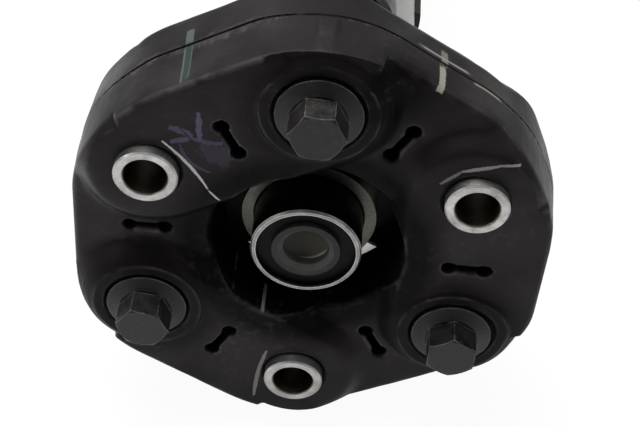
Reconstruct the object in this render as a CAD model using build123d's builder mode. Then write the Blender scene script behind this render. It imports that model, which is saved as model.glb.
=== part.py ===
# Driveshaft with a rubber flex disc at the gearbox end, a splined slip joint and a
# universal joint with a companion flange at the axle end. All lengths are millimetres.
#
# The shaft axis is +Y, from the gearbox towards the axle, and +Z is up. The origin is on
# that axis, in the plane of the ends of the three sleeves that the gearbox flange meets.
# A "station" is a distance along the shaft from that plane.

import os
from math import cos, hypot, radians, sin, tan

from build123d import *

os.makedirs("parts", exist_ok=True)


# Driving dimensions of the bolt circle that the gearbox and the shaft share

bolt_circle_d = 110.0
bolt_count = 3
bolt_turn = 90.0  # the first shaft bolt stands at 12 o'clock
sleeve_od = 18.8
sleeve_bore = 12.8
sleeve_stand = 3.0  # a sleeve stands this far out of the rubber
sleeve_chamfer = 0.5
bolt_d = 12.0
bolt_hole_gap = 0.1

# Driving dimensions of the flex disc

disc_thickness = 34.0
disc_cover = 16.4  # rubber outside the bolt circle, at the flats
disc_corner_r = 43.0
disc_bore = 59.0
disc_draft = 2.5  # degrees
pocket_depth = 5.5
front_pad_r = 18.5
front_pad_flank = 42.0  # degrees
rear_pad_r = 19.3
rear_pad_flank = 27.0  # degrees
rim_round = 1.6
pocket_round = 2.8
ring_r = 17.4
ring_well_r = 13.1
ring_rise = 1.3
ring_chamfer = 0.6
groove_width = 1.2
groove_depth = 1.0
slot_r = 2.3
slot_neck = 2.6
slot_inner = 43.2
slot_outer = 53.6
slot_depth = 12.0
tab_width = 5.2
tab_length = 7.0
tab_station = 14.5
tab_rise = 0.6

# Driving dimensions of the bolts and nuts

head_across_flats = 14.4
head_height = 8.2
head_chamfer = 1.1
bolt_flange_d = 24.7
bolt_flange_edge = 1.5
bolt_flange_height = 3.1
head_turns = (2.0, 5.0, 30.0)  # degrees, as each bolt came to rest
nut_across_flats = 18.0
nut_height = 12.0
nut_flange_height = 3.0
nut_turns = (12.0, 41.0, 25.0)  # degrees
bolt_tail = 3.0
tail_chamfer = 1.2

# Driving dimensions of the centring sleeve

can_front = 4.2
can_r = 16.75
can_wall = 1.6
can_length = 30.0
can_lip_r = 11.5
can_edge = 0.6
bush_front = 4.6
bush_r = 10.35
bush_bore_r = 7.0
bush_length = 26.0
bush_lead = 1.5
rubber_setback = 1.6
cap_setback = 4.1
cap_seat_r = 7.5
cap_dish = 1.6
cap_skirt = 6.0
cap_wall = 1.0
nose_r = 20.7
nose_length = 16.0
ring_length = 4.0
ring_gap = 0.45
tab_corners = ((19.7, 325.0), (22.7, 320.9), (24.3, 334.7), (19.7, 335.0))  # radius, degrees
tab_thickness = 1.2

# Driving dimensions of the three-arm flange and the tube

arm_thickness = 15.0
arm_end_r = 20.0
arm_width = 35.0
arm_crotch_r = 9.0
arm_edge = 1.5
arm_reach = 15.5  # from the hub's edge to the bolt's axis
flange_bore_r = 13.0
neck_length = 16.0
spigot_length = 14.0
spigot_wall = 4.0
tube_od = 62.0
tube_wall = 2.5
tube_length = 330.0
weld_width = 5.0
weld_rise = 1.3
weight_length = 30.0
weight_width = 24.0
weight_thickness = 2.2
front_weight_setback = 57.0  # from the tube's front end
front_weight_angle = -16.0
rear_weight_setback = 25.0  # from the tube's rear end
rear_weight_angle = 200.0

# Driving dimensions of the slip joint

spline_teeth = 18
spline_bore_r = 12.4
spline_root_r = 14.0
spline_tooth_share = 0.5  # tooth width over pitch, at the bore
spline_flank = 20.0  # degrees
spline_gap = 0.08
sleeve_r = 21.0
sleeve_outside = 70.0  # this much of the slip sleeve lies behind the tube
spline_hold = 58.0  # left in mesh when the joint is drawn right out
shoulder_length = 6.0
shoulder_cone = 16.0
plug_thickness = 2.0
plug_land = 1.0
dust_cap_wall = 2.0
dust_cap_overlap = 12.0
seal_length = 5.0
slip_in = 20.0
slip_out = 25.0
slip_margin = 4.0
stub_neck_r = 15.0
stub_chamfer = 1.0
nipple_r = 3.6
nipple_neck_r = 2.2
nipple_shank_r = 2.5
nipple_shank = 5.0
nipple_height = 6.5
nipple_collar = 3.2
nipple_neck = 1.3
nipple_shoulder = 0.7
nipple_tip_r = 1.1
sleeve_nipple_setback = 34.0  # behind the tube's end

# Driving dimensions of the universal joint

fork_reach = 52.0  # from the end of the stub to the cross centre
throat = 30.0  # from the cross centre to the bottom of a fork
ear_face = 38.8
ear_inner = 20.5
ear_r = 18.4
ear_shoulder = 13.0
ear_waist = 15.5
fork_hub_r = 19.0
fork_hub_length = 10.0
cup_r = 13.5
cup_end = 36.0
cup_length = 18.6
cup_floor = 3.0
cup_edge = 1.0
needle_r = 1.45
needle_gap = 0.03
trunnion_r = 7.5
trunnion_gap = 0.05
shoulder_r = 10.8
shoulder_reach = 15.6
cross_body_r = 15.0
cross_body_width = 20.0
cross_boss_r = 4.2
cross_boss_reach = 12.0
joint_seal_thickness = 1.5
joint_seal_rim = 2.2
circlip_thickness = 1.3
circlip_groove = 0.9
circlip_width = 3.2
circlip_opening = 9.0
companion_reach = 43.0  # from the cross centre to the companion flange's face
companion_thickness = 8.5
companion_edge = 1.0
companion_flare = 3.0
companion_bolt_circle_d = 74.5
companion_hole_d = 8.2
companion_holes = 4
companion_rim = 3.65  # outside the bolt holes
pilot_r = 23.5
pilot_depth = 2.5


# Stations and radii worked out from the driving dimensions

disc_front = sleeve_stand
disc_rear = disc_front + disc_thickness
disc_middle = (disc_front + disc_rear) / 2
arm_front = disc_rear + sleeve_stand
arm_rear = arm_front + arm_thickness
nut_rear = arm_rear + nut_height
nose_front = arm_front - nose_length
can_rear = can_front + can_length
tube_start = arm_rear + neck_length
tube_end = tube_start + tube_length
slip_end = tube_end + sleeve_outside
dust_cap_end = slip_end + seal_length + dust_cap_wall
stub_start = slip_end - slip_out - spline_hold
slip_start = stub_start - slip_in - slip_margin - plug_thickness - plug_land
stub_end = dust_cap_end + slip_in + slip_margin
cross_station = stub_end + fork_reach
companion_face = cross_station + companion_reach
companion_d = companion_bolt_circle_d + companion_hole_d + 2 * companion_rim
bushing_r = bolt_circle_d / 2
flange_hub_r = bushing_r - arm_reach
bushing_count = 2 * bolt_count
half_step = 180 / bushing_count  # degrees from a bushing to the middle of a pair
gearbox_turn = bolt_turn + 2 * half_step
pair_r = bushing_r * cos(radians(half_step))
disc_across_flats = bolt_circle_d + 2 * disc_cover
disc_d = 2 * ((disc_across_flats / 2 - disc_corner_r) / cos(radians(half_step)) + disc_corner_r)
bolt_hole_r = bolt_d / 2 + bolt_hole_gap
tube_r = tube_od / 2
tube_bore_r = tube_r - tube_wall
cross_centre = Vector(0, cross_station, 0)


def station(y):
    """Plane across the shaft at a station, seen from the gearbox: X right, Z up."""
    return Plane.XZ.offset(-y)


def turn(*outline, mode=Mode.ADD):
    """Turns an outline of (station, radius) points about the shaft axis."""
    with BuildSketch(Plane.YZ) as profile:
        with BuildLine():
            Polyline(*outline, close=True)
        make_face()
    revolve(profile.sketch, axis=Axis.Y, mode=mode)


# Flex disc: one moulding of rubber round cord loops. Three pads in front and three at the
# rear each wrap two neighbouring bushings, so that pads and pockets alternate. The wall
# leans in from the parting line at mid thickness, and is flat between the bushings.

def moulding(front, rear, edge_round):
    """Rounded hexagon with a bore, between two stations on each side of the parting line."""
    with BuildPart() as body:
        for face in (front, rear):
            with BuildSketch(station(disc_middle)) as outline:
                RegularPolygon(
                    disc_across_flats / 2, bushing_count, major_radius=False, rotation=half_step
                )
                fillet(outline.vertices(), disc_corner_r)
            extrude(amount=disc_middle - face, taper=disc_draft)
        with BuildSketch(station(disc_middle)):
            Circle(disc_bore / 2)
        extrude(amount=disc_thickness, both=True, mode=Mode.SUBTRACT)
        faces = body.edges().group_by(Axis.Y)
        fillet(faces[0] + faces[-1], edge_round)
    return body.part


def pair_places(first_turn):
    """Middles of the three pairs of bushings that a face's pads wrap."""
    return PolarLocations(pair_r, bolt_count, start_angle=first_turn)


front_pads_turn = bolt_turn + half_step
rear_pads_turn = bolt_turn - half_step
pocket_front = disc_front + pocket_depth
pocket_rear = disc_rear - pocket_depth

# Pads of both faces, which are wider at their roots. The front ones run on to the rim
# between their bushings.

with BuildPart() as pads:
    with BuildSketch(station(disc_front)):
        with pair_places(front_pads_turn):
            SlotCenterToCenter(bushing_r, 2 * front_pad_r, rotation=90)
    extrude(amount=-pocket_depth - pocket_round, taper=-front_pad_flank)
    with BuildSketch(station(disc_front)):
        with pair_places(front_pads_turn):
            Rectangle(disc_d / 2, bushing_r, align=(Align.MIN, Align.CENTER))
    extrude(amount=-disc_thickness / 2)
    with BuildSketch(station(disc_rear)):
        with pair_places(rear_pads_turn):
            SlotCenterToCenter(bushing_r, 2 * rear_pad_r, rotation=90)
    extrude(amount=pocket_depth + pocket_round, taper=-rear_pad_flank)
    add(moulding(disc_front, disc_rear, rim_round), mode=Mode.INTERSECT)

with BuildPart() as flex_disc:
    add(moulding(pocket_front, pocket_rear, pocket_round))
    add(pads.part)

    # Moulded tab on the wall at 12 o'clock, and a raised ring round each shaft bolt
    with BuildSketch(Plane.XY.offset(disc_d / 2 - rim_round)):
        with Locations((0, tab_station)):
            Rectangle(tab_width, tab_length)
    extrude(amount=rim_round + tab_rise)
    with BuildSketch(station(disc_front - ring_rise)):
        with PolarLocations(bushing_r, bolt_count, start_angle=bolt_turn):
            Circle(ring_r)
            Circle(ring_well_r, mode=Mode.SUBTRACT)
    extrude(amount=-ring_rise - rim_round / 2)
    chamfer(flex_disc.edges().group_by(Axis.Y)[0], ring_chamfer)

    # Bushing bores, with a groove round the end of each sleeve that stands out
    with BuildSketch(station(disc_middle)):
        with PolarLocations(bushing_r, bushing_count, start_angle=bolt_turn):
            Circle(sleeve_od / 2)
    extrude(amount=disc_thickness, both=True, mode=Mode.SUBTRACT)
    with BuildSketch(station(disc_front)):
        with PolarLocations(bushing_r, bolt_count, start_angle=gearbox_turn):
            Circle(sleeve_od / 2 + groove_width)
    extrude(amount=-groove_depth, mode=Mode.SUBTRACT)
    with BuildSketch(station(disc_rear)):
        with PolarLocations(bushing_r, bolt_count, start_angle=bolt_turn):
            Circle(sleeve_od / 2 + groove_width)
    extrude(amount=groove_depth, mode=Mode.SUBTRACT)

    # Blind dog-bone slots between the bushings, from both faces
    for face, inward in ((disc_front, -1), (disc_rear, 1)):
        with BuildSketch(station(face)):
            with PolarLocations(0, bushing_count, start_angle=bolt_turn + half_step):
                with Locations((slot_inner, 0), (slot_outer, 0)):
                    Circle(slot_r)
                with Locations((slot_inner, 0)):
                    Rectangle(slot_outer - slot_inner, slot_neck, align=(Align.MIN, Align.CENTER))
        extrude(amount=inward * slot_depth, mode=Mode.SUBTRACT)

flex_disc.part.label = "flex_disc"
export_step(flex_disc.part, "parts/flex_disc.step")


# Steel sleeves moulded into the disc: three stand out in front, where the gearbox flange
# is bolted on, and three at the rear, where the shaft's own flange is

def bushing_sleeves(front, rear, first_turn, bore_r):
    """Adds three sleeves between two stations to the part being built."""
    with BuildSketch(station(front)) as rings:
        with PolarLocations(bushing_r, bolt_count, start_angle=first_turn):
            Circle(sleeve_od / 2)
            Circle(bore_r, mode=Mode.SUBTRACT)
    extrude(rings.sketch, amount=front - rear)


with BuildPart() as mounting_sleeves:
    bushing_sleeves(0, disc_rear, gearbox_turn, sleeve_bore / 2)
    chamfer(mounting_sleeves.edges().group_by(Axis.Y)[0], sleeve_chamfer)

mounting_sleeves.part.label = "mounting_sleeves"
export_step(mounting_sleeves.part, "parts/mounting_sleeves.step")

with BuildPart() as shaft_sleeves:
    bushing_sleeves(disc_front, arm_front, bolt_turn, bolt_hole_r)
    chamfer(shaft_sleeves.edges().group_by(Axis.Y)[-1], sleeve_chamfer)

shaft_sleeves.part.label = "shaft_sleeves"
export_step(shaft_sleeves.part, "parts/shaft_sleeves.step")


# Bolts with a hexagon head and a coned flange, and their flanged nuts. One of each is
# made on the shaft axis, and copies go to the bolt circle.

def hexagon(across_flats, front, rear, chamfered):
    """Adds a hexagon between two stations, with the corners of one end turned off."""
    with BuildSketch(station(front)) as outline:
        RegularPolygon(across_flats / 2, 6, major_radius=False)
    extrude(outline.sketch, amount=front - rear)
    corner_r = across_flats / 2 / cos(radians(30))
    free, joined = (front, rear) if chamfered == "front" else (rear, front)
    inward = head_chamfer if chamfered == "front" else -head_chamfer
    turn(
        (free, 0),
        (free, corner_r - head_chamfer),
        (free + inward, corner_r + head_chamfer),
        (joined, corner_r + head_chamfer),
        (joined, 0),
        mode=Mode.INTERSECT,
    )


def round_bolt_circle(piece, turns):
    """Adds copies of a piece from the shaft axis to the part being built."""
    for number in range(bolt_count):
        angle = radians(bolt_turn + 360 / bolt_count * number)
        place = (bushing_r * cos(angle), 0, bushing_r * sin(angle))
        with Locations(Location(place, (0, turns[number % len(turns)], 0))):
            add(piece)


head_base = disc_front - bolt_flange_height
head_base_r = head_across_flats / 2 / cos(radians(30))
tail_end = nut_rear + bolt_tail

with BuildPart() as one_bolt:
    hexagon(head_across_flats, head_base - head_height, head_base, "front")
    turn(
        (head_base, 0),
        (head_base, head_base_r),
        (disc_front - bolt_flange_edge, bolt_flange_d / 2),
        (disc_front, bolt_flange_d / 2),
        (disc_front, bolt_d / 2),
        (tail_end - tail_chamfer, bolt_d / 2),
        (tail_end, bolt_d / 2 - tail_chamfer),
        (tail_end, 0),
    )

with BuildPart() as coupling_bolts:
    round_bolt_circle(one_bolt.part, head_turns)

coupling_bolts.part.label = "coupling_bolts"
export_step(coupling_bolts.part, "parts/coupling_bolts.step")

nut_flange_rear = arm_rear + nut_flange_height

with BuildPart() as one_nut:
    hexagon(nut_across_flats, arm_rear, nut_rear, "rear")
    turn(
        (arm_rear, 0),
        (arm_rear, bolt_flange_d / 2),
        (arm_rear + bolt_flange_edge, bolt_flange_d / 2),
        (nut_flange_rear, nut_across_flats / 2),
        (nut_flange_rear, 0),
    )
    turn((arm_rear, 0), (arm_rear, bolt_d / 2), (nut_rear, bolt_d / 2), (nut_rear, 0), mode=Mode.SUBTRACT)

with BuildPart() as coupling_nuts:
    round_bolt_circle(one_nut.part, nut_turns)

coupling_nuts.part.label = "coupling_nuts"
export_step(coupling_nuts.part, "parts/coupling_nuts.step")


# Centring sleeve: a steel can pressed into the nose of the shaft's flange, which holds a
# bush in rubber. The gearbox pilot runs in the bush, in front of a dished cap.

with BuildPart() as centring_can:
    turn(
        (can_front, can_r - can_wall),
        (can_front, can_r - can_edge),
        (can_front + can_edge, can_r),
        (can_rear, can_r),
        (can_rear, can_lip_r),
        (can_rear - can_wall, can_lip_r),
        (can_rear - can_wall, can_r - can_wall),
    )

centring_can.part.label = "centring_can"
export_step(centring_can.part, "parts/centring_can.step")

rubber_front = bush_front + rubber_setback
bush_rear = bush_front + bush_length

with BuildPart() as centring_rubber:
    turn(
        (rubber_front, bush_r),
        (rubber_front, can_r - can_wall),
        (bush_rear, can_r - can_wall),
        (bush_rear, bush_r),
    )

centring_rubber.part.label = "centring_rubber"
export_step(centring_rubber.part, "parts/centring_rubber.step")

cap_front = bush_front + cap_setback
cap_rear = cap_front + cap_skirt

with BuildPart() as centring_bush:
    turn(
        (bush_front, bush_bore_r + bush_lead),
        (bush_front, bush_r),
        (bush_rear, bush_r),
        (bush_rear, cap_seat_r),
        (cap_front, cap_seat_r),
        (cap_front, bush_bore_r),
        (bush_front + bush_lead, bush_bore_r),
    )

centring_bush.part.label = "centring_bush"
export_step(centring_bush.part, "parts/centring_bush.step")

with BuildPart() as centring_cap:
    with BuildSketch(Plane.YZ):
        with BuildLine():
            dish = SagittaArc((cap_front, bush_bore_r), (cap_front, -bush_bore_r), cap_dish)
            Polyline(
                dish @ 0,
                (cap_front, cap_seat_r),
                (cap_rear, cap_seat_r),
                (cap_rear, -cap_seat_r),
                (cap_front, -cap_seat_r),
                dish @ 1,
            )
        make_face()
        Rectangle(2 * cap_rear, bush_r, align=(Align.CENTER, Align.MIN), mode=Mode.INTERSECT)
    revolve(axis=Axis.Y)
    turn(
        (cap_front + cap_dish + cap_wall, 0),
        (cap_front + cap_dish + cap_wall, cap_seat_r - cap_wall),
        (cap_rear, cap_seat_r - cap_wall),
        (cap_rear, 0),
        mode=Mode.SUBTRACT,
    )

centring_cap.part.label = "centring_cap"
export_step(centring_cap.part, "parts/centring_cap.step")


# Locating ring: pressed round the can against the flange's nose. One tab of it is bent out.

ring_front = nose_front - ring_length

with BuildPart() as locating_ring:
    turn(
        (ring_front, can_r + ring_gap),
        (ring_front, nose_r),
        (nose_front, nose_r),
        (nose_front, can_r),
        (ring_front + ring_gap, can_r),
    )
    with BuildSketch(station(ring_front)):
        with BuildLine():
            Polyline(*[(r * cos(radians(a)), r * sin(radians(a))) for r, a in tab_corners], close=True)
        make_face()
    extrude(amount=-tab_thickness)

locating_ring.part.label = "locating_ring"
export_step(locating_ring.part, "parts/locating_ring.step")


# Three-arm flange: a forging with a nose for the centring sleeve, an arm to each shaft
# bolt, and a hollow neck that is spigoted into the tube and welded to it

neck_bore_start = arm_rear - arm_edge
neck_bore_r = tube_bore_r - spigot_wall

with BuildPart() as front_flange:
    with BuildSketch(station(arm_front)) as arms:
        Circle(flange_hub_r)
        with PolarLocations(0, bolt_count, start_angle=bolt_turn):
            Rectangle(bushing_r, arm_width, align=(Align.MIN, Align.CENTER))
        with PolarLocations(bushing_r, bolt_count, start_angle=bolt_turn):
            Circle(arm_end_r)
        crotches = arms.vertices().filter_by(lambda v: hypot(v.X, v.Y) < flange_hub_r + arm_edge)
        fillet(crotches, arm_crotch_r)
    extrude(amount=-arm_thickness)
    chamfer(front_flange.edges().filter_by(Plane.XZ), arm_edge)
    turn(
        (nose_front, 0),
        (nose_front, nose_r),
        (arm_front - arm_edge, nose_r),
        (arm_front + arm_edge, nose_r + 2 * arm_edge),
        (arm_rear - arm_edge, flange_hub_r - arm_edge),
        (tube_start - weld_width, tube_r),
        (tube_start - weld_width / 2, tube_r),
        (tube_start - weld_width / 4, tube_r + weld_rise),
        (tube_start + weld_width / 4, tube_r + weld_rise),
        (tube_start + weld_width / 2, tube_r),
        (tube_start, tube_r),
        (tube_start, tube_bore_r),
        (tube_start + spigot_length, tube_bore_r),
        (tube_start + spigot_length, 0),
    )
    turn(
        (nose_front, 0),
        (nose_front, can_r),
        (can_rear, can_r),
        (can_rear, flange_bore_r),
        (neck_bore_start, flange_bore_r),
        (tube_start, neck_bore_r),
        (tube_start + spigot_length, neck_bore_r),
        (tube_start + spigot_length, 0),
        mode=Mode.SUBTRACT,
    )
    with BuildSketch(station(arm_front)):
        with PolarLocations(bushing_r, bolt_count, start_angle=bolt_turn):
            Circle(bolt_hole_r)
    extrude(amount=-arm_thickness, mode=Mode.SUBTRACT)

front_flange.part.label = "front_flange"
export_step(front_flange.part, "parts/front_flange.step")


# Tube, and the two weights welded to it when the shaft was balanced

with BuildPart() as shaft_tube:
    turn((tube_start, tube_bore_r), (tube_start, tube_r), (tube_end, tube_r), (tube_end, tube_bore_r))

shaft_tube.part.label = "shaft_tube"
export_step(shaft_tube.part, "parts/shaft_tube.step")

with BuildPart() as balance_weights:
    for front, angle in (
        (tube_start + front_weight_setback, front_weight_angle),
        (tube_end - rear_weight_setback - weight_length, rear_weight_angle),
    ):
        with BuildSketch(station(front)):
            Circle(tube_r + weight_thickness)
            Circle(tube_r, mode=Mode.SUBTRACT)
            with PolarLocations(tube_r, 1, start_angle=angle):
                Rectangle(tube_r, weight_width, mode=Mode.INTERSECT)
        extrude(amount=-weight_length)

balance_weights.part.label = "balance_weights"
export_step(balance_weights.part, "parts/balance_weights.step")


# Slip sleeve: welded into the rear of the tube, with a splined bore for the slip yoke

def spline_teeth_sketch(core_r, tip_r, side_gap):
    """Section of a spline: a round core with straight-flanked teeth on it."""
    half_base = spline_tooth_share * radians(360 / spline_teeth) * spline_bore_r / 2 - side_gap
    root = core_r - 3 * spline_gap
    half_root = half_base + (spline_bore_r - root) * tan(radians(spline_flank))
    half_tip = half_base - (tip_r - spline_bore_r) * tan(radians(spline_flank))
    with BuildSketch(Plane.XY) as section:
        Circle(core_r)
        with BuildSketch(Plane.XY, mode=Mode.PRIVATE) as tooth:
            with BuildLine():
                Polyline(
                    (root, -half_root), (tip_r, -half_tip), (tip_r, half_tip), (root, half_root), close=True
                )
            make_face()
        with PolarLocations(0, spline_teeth):
            add(tooth.sketch)
    return section.sketch


bore_section = spline_teeth_sketch(spline_bore_r, spline_root_r, 0)
stub_section = spline_teeth_sketch(spline_bore_r - spline_gap, spline_root_r - spline_gap, spline_gap)
plug_r = spline_root_r + plug_land
shoulder_end = tube_end + shoulder_length
nipple_station = tube_end + sleeve_nipple_setback

with BuildPart() as slip_sleeve:
    turn(
        (slip_start, 0),
        (slip_start, sleeve_r),
        (tube_end - spigot_length, sleeve_r),
        (tube_end - spigot_length, tube_bore_r),
        (tube_end, tube_bore_r),
        (tube_end, tube_r),
        (tube_end - weld_width / 2, tube_r),
        (tube_end - weld_width / 4, tube_r + weld_rise),
        (tube_end + weld_width / 4, tube_r + weld_rise),
        (tube_end + weld_width / 2, tube_r),
        (shoulder_end, tube_r),
        (shoulder_end + shoulder_cone, sleeve_r),
        (slip_end, sleeve_r),
        (slip_end, 0),
    )
    with BuildSketch(station(slip_start)):
        add(bore_section)
    extrude(amount=slip_start - slip_end, mode=Mode.SUBTRACT)
    with BuildSketch(station(slip_start)):
        Circle(plug_r)
    extrude(amount=-plug_thickness - plug_land, mode=Mode.SUBTRACT)
    with BuildSketch(Plane.XY.offset(sleeve_r)):
        with Locations((0, nipple_station)):
            Circle(nipple_shank_r)
    extrude(amount=-nipple_shank, mode=Mode.SUBTRACT)

slip_sleeve.part.label = "slip_sleeve"
export_step(slip_sleeve.part, "parts/slip_sleeve.step")

with BuildPart() as sleeve_plug:
    turn(
        (slip_start + plug_land, 0),
        (slip_start + plug_land, plug_r),
        (slip_start + plug_land + plug_thickness, plug_r),
        (slip_start + plug_land + plug_thickness, 0),
    )

sleeve_plug.part.label = "sleeve_plug"
export_step(sleeve_plug.part, "parts/sleeve_plug.step")

with BuildPart() as dust_cap:
    turn(
        (slip_end - dust_cap_overlap, sleeve_r),
        (slip_end - dust_cap_overlap, sleeve_r + dust_cap_wall),
        (dust_cap_end - can_edge, sleeve_r + dust_cap_wall),
        (dust_cap_end, sleeve_r + dust_cap_wall - can_edge),
        (dust_cap_end, plug_r),
        (dust_cap_end - dust_cap_wall, plug_r),
        (dust_cap_end - dust_cap_wall, sleeve_r),
    )

dust_cap.part.label = "dust_cap"
export_step(dust_cap.part, "parts/dust_cap.step")

with BuildPart() as wiper_seal:
    turn(
        (slip_end, spline_root_r),
        (slip_end, sleeve_r),
        (slip_end + seal_length, sleeve_r),
        (slip_end + seal_length, spline_root_r),
    )

wiper_seal.part.label = "wiper_seal"
export_step(wiper_seal.part, "parts/wiper_seal.step")


# Grease nipple: its shank points down its own Z axis, and its collar rests at zero

with BuildPart() as one_nipple:
    with BuildSketch(Plane.XZ):
        with BuildLine():
            Polyline(
                (0, -nipple_shank),
                (nipple_shank_r, -nipple_shank),
                (nipple_shank_r, 0),
                (nipple_r, 0),
                (nipple_r, nipple_collar),
                (nipple_neck_r, nipple_collar),
                (nipple_neck_r, nipple_collar + nipple_neck),
                (nipple_shank_r, nipple_collar + nipple_neck + nipple_shoulder),
                (nipple_tip_r, nipple_height),
                (0, nipple_height),
                close=True,
            )
        make_face()
    revolve(axis=Axis.Z)

with BuildPart() as sleeve_nipple:
    with Locations((0, nipple_station, sleeve_r)):
        add(one_nipple.part)

sleeve_nipple.part.label = "sleeve_nipple"
export_step(sleeve_nipple.part, "parts/sleeve_nipple.step")


# Forks of the universal joint: two ears round a pin axis, joined by a round-bottomed throat

def fork(along, pin, side_outline, plan_outline):
    """Fork with its cross centre at the joint's; outlines are (distance along, half width)."""
    with BuildPart() as ears:
        with BuildSketch(Plane(cross_centre, x_dir=along, z_dir=along.cross(pin))):
            with BuildLine():
                Polyline(*side_outline, *[(s, -p) for s, p in reversed(side_outline)], close=True)
            make_face()
            with Locations((throat - ear_inner, 0)):
                Circle(ear_inner, mode=Mode.SUBTRACT)
                Rectangle(3 * ear_r, 2 * ear_inner, align=(Align.MAX, Align.CENTER), mode=Mode.SUBTRACT)
        extrude(amount=companion_d, both=True)
        with BuildSketch(Plane(cross_centre, x_dir=along, z_dir=-pin)):
            with BuildLine():
                Polyline(*plan_outline, *[(s, -q) for s, q in reversed(plan_outline)], close=True)
            make_face()
            Circle(ear_r)
        extrude(amount=companion_d, both=True, mode=Mode.INTERSECT)
        with BuildSketch(Plane(cross_centre, z_dir=pin)):
            Circle(cup_r)
        extrude(amount=ear_face, both=True, mode=Mode.SUBTRACT)
        for outward in (pin, -pin):
            with BuildSketch(Plane(cross_centre + outward * cup_end, z_dir=outward)):
                Circle(cup_r + circlip_groove)
            extrude(amount=circlip_thickness, mode=Mode.SUBTRACT)
    return ears.part


slip_pin = Vector(0, 0, 1)
companion_pin = Vector(1, 0, 0)
ear_end = -ear_r - cup_edge

slip_fork = fork(
    Vector(0, -1, 0),
    slip_pin,
    (
        (ear_end, ear_face),
        (ear_shoulder, ear_face),
        ((ear_shoulder + fork_reach) / 2, (ear_face + fork_hub_r) / 2 + 2 * cup_floor),
        (fork_reach - fork_hub_length, fork_hub_r),
    ),
    ((0, ear_r), (throat, ear_waist), (fork_reach - fork_hub_length, ear_waist)),
)

with BuildPart() as slip_yoke:
    add(slip_fork)
    turn(
        (stub_end - slip_margin, 0),
        (stub_end - slip_margin, spline_bore_r),
        (stub_end, stub_neck_r),
        (stub_end + fork_hub_length, fork_hub_r),
        (cross_station - throat - ear_shoulder / 2, fork_hub_r),
        (cross_station - throat - cup_edge, ear_waist),
        (cross_station - throat - cup_edge, 0),
    )
    with BuildSketch(station(stub_start)):
        add(stub_section)
    extrude(amount=stub_start - stub_end)
    turn(
        (stub_start, spline_root_r - stub_chamfer),
        (stub_start, 2 * spline_root_r),
        (stub_start + stub_chamfer, 2 * spline_root_r),
        (stub_start + stub_chamfer, spline_root_r),
        mode=Mode.SUBTRACT,
    )

slip_yoke.part.label = "slip_yoke"
export_step(slip_yoke.part, "parts/slip_yoke.step")

plate_front = companion_reach - companion_thickness

companion_fork = fork(
    Vector(0, 1, 0),
    companion_pin,
    (
        (ear_end, ear_face),
        (ear_shoulder, ear_face),
        (plate_front, ear_face + companion_flare),
        (plate_front + companion_edge, ear_face + companion_flare),
    ),
    ((0, ear_r), (throat, ear_waist), (plate_front, ear_r), (plate_front + companion_edge, ear_r)),
)

with BuildPart() as flange_yoke:
    add(companion_fork)
    turn(
        (cross_station + plate_front, 0),
        (cross_station + plate_front, companion_d / 2 - companion_edge),
        (cross_station + plate_front + companion_edge, companion_d / 2),
        (companion_face - companion_edge, companion_d / 2),
        (companion_face, companion_d / 2 - companion_edge),
        (companion_face, 0),
    )
    with BuildSketch(station(companion_face)):
        with PolarLocations(companion_bolt_circle_d / 2, companion_holes, start_angle=180 / companion_holes):
            Circle(companion_hole_d / 2)
    extrude(amount=companion_thickness, mode=Mode.SUBTRACT)
    with BuildSketch(station(companion_face)):
        Circle(pilot_r)
    extrude(amount=pilot_depth, mode=Mode.SUBTRACT)

flange_yoke.part.label = "flange_yoke"
export_step(flange_yoke.part, "parts/flange_yoke.step")


# Cross: four ground trunnions on one forged body, with a grease nipple at its middle

trunnion_end = cup_end - cup_floor - trunnion_gap
nipple_seat = station(cross_station - cross_boss_reach)

with BuildPart() as cross:
    with BuildSketch(station(cross_station)):
        Circle(cross_body_r)
    extrude(amount=cross_body_width / 2, both=True)
    for pin in (slip_pin, companion_pin):
        with BuildSketch(Plane(cross_centre, z_dir=pin)):
            Circle(shoulder_r)
        extrude(amount=shoulder_reach, both=True)
        with BuildSketch(Plane(cross_centre, z_dir=pin)):
            Circle(trunnion_r)
        extrude(amount=trunnion_end, both=True)
    with BuildSketch(nipple_seat):
        Circle(cross_boss_r)
    extrude(amount=-cross_boss_reach / 2)
    with BuildSketch(nipple_seat):
        Circle(nipple_shank_r)
    extrude(amount=-nipple_shank, mode=Mode.SUBTRACT)

cross.part.label = "cross"
export_step(cross.part, "parts/cross.step")

with BuildPart() as cross_nipple:
    with Locations(nipple_seat):
        add(one_nipple.part)

cross_nipple.part.label = "cross_nipple"
export_step(cross_nipple.part, "parts/cross_nipple.step")


# Bearings of the cross. Each piece is made once on its own Z axis, which points outwards
# from the cross centre, and copies go to both ends of each fork's pin axis.

race_r = trunnion_r + 2 * needle_r + 2 * needle_gap
cup_start = cup_end - cup_length


def turn_on_pin(*outline):
    """Turns an outline of (radius, distance from the cross centre) points about Z."""
    with BuildSketch(Plane.XZ) as profile:
        with BuildLine():
            Polyline(*outline, close=True)
        make_face()
    revolve(profile.sketch, axis=Axis.Z)


def at_both_ends(piece, pin):
    """Adds copies of a bearing piece at both ends of a pin axis to the part being built."""
    with Locations(Plane(cross_centre, z_dir=pin), Plane(cross_centre, z_dir=-pin)):
        add(piece)


with BuildPart() as one_cup:
    turn_on_pin(
        (race_r, cup_start),
        (cup_r, cup_start),
        (cup_r, cup_end - cup_edge),
        (cup_r - cup_edge, cup_end),
        (0, cup_end),
        (0, cup_end - cup_floor),
        (race_r, cup_end - cup_floor),
    )

with BuildPart() as one_seal:
    turn_on_pin(
        (trunnion_r + needle_gap, cup_start - joint_seal_thickness),
        (race_r + joint_seal_rim, cup_start - joint_seal_thickness),
        (race_r + joint_seal_rim, cup_start),
        (trunnion_r + needle_gap, cup_start),
    )

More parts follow.
